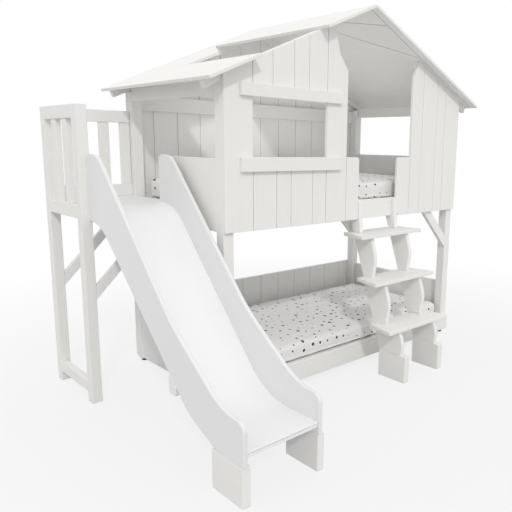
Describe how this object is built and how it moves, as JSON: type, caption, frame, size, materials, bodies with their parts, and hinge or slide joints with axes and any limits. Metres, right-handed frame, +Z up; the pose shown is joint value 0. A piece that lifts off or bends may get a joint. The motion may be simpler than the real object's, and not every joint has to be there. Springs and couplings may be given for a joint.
{
  "type": "bunk bed with slide",
  "caption": "Tree-house bunk bed with two bunks, a gabled plank roof, a raised side deck, a slide and a tread ladder, in white painted wood.",
  "frame": {"origin": "on the floor, under the middle of the whole object's box", "axes": "+X along the bed from the slide's end to the plain end, +Y from the open front to the back wall, +Z up"},
  "size_m": [2.7696, 1.932, 2.3009],
  "materials": {
    "white_paint": "satin white paint over wood",
    "slide_lacquer": "smooth white lacquer",
    "cotton_sheet": "white cotton fitted sheet with small dark spots"
  },
  "bodies": {
    "root": {"back_wall_boards": "white_paint", "back_wall_rail": "white_paint", "bed_brace_back": "white_paint", "bed_brace_front": "white_paint", "bed_post_back_left": "white_paint", "bed_post_back_right": "white_paint", "bed_post_front_left": "white_paint", "bed_post_front_right": "white_paint", "corner_board_left": "white_paint", "deck_beam_back": "white_paint", "deck_beam_front": "white_paint", "gable_boards": "white_paint", "guard_board_left": "white_paint", "guard_board_right": "white_paint", "header_left": "white_paint", "header_right": "white_paint", "ladder_foot_left": "white_paint", "ladder_foot_right": "white_paint", "ladder_stringer_left": "white_paint", "ladder_stringer_right": "white_paint", "ladder_tread_1": "white_paint", "ladder_tread_2": "white_paint", "ladder_tread_3": "white_paint", "lower_back_boards": "white_paint", "lower_bed_base": "white_paint", "lower_mattress": "cotton_sheet", "lower_panel_left": "white_paint", "lower_panel_right": "white_paint", "lower_rail_front": "white_paint", "rafter_front_left": "white_paint", "rafter_front_right": "white_paint", "rafters_back": "white_paint", "right_wall_boards": "white_paint", "roof_left": "white_paint", "roof_right_edge": "white_paint", "roof_right_lower": "white_paint", "roof_right_upper": "white_paint", "side_guard_left": "white_paint", "side_guard_right": "white_paint", "slide_batten": "white_paint", "slide_chute": "slide_lacquer", "slide_foot_left": "white_paint", "slide_foot_right": "white_paint", "slide_side_left": "slide_lacquer", "slide_side_right": "slide_lacquer", "tall_board_left": "white_paint", "tower_back_guard": "white_paint", "tower_brace_back": "white_paint", "tower_brace_front": "white_paint", "tower_deck": "white_paint", "tower_foot_rail": "white_paint", "tower_post_back": "white_paint", "tower_post_front": "white_paint", "tower_side_guard": "white_paint", "upper_bed_base": "white_paint", "upper_mattress": "cotton_sheet", "upper_rail_front": "white_paint", "window_boards": "white_paint", "window_header": "white_paint", "window_sill": "white_paint"}
  },
  "joints": []
}
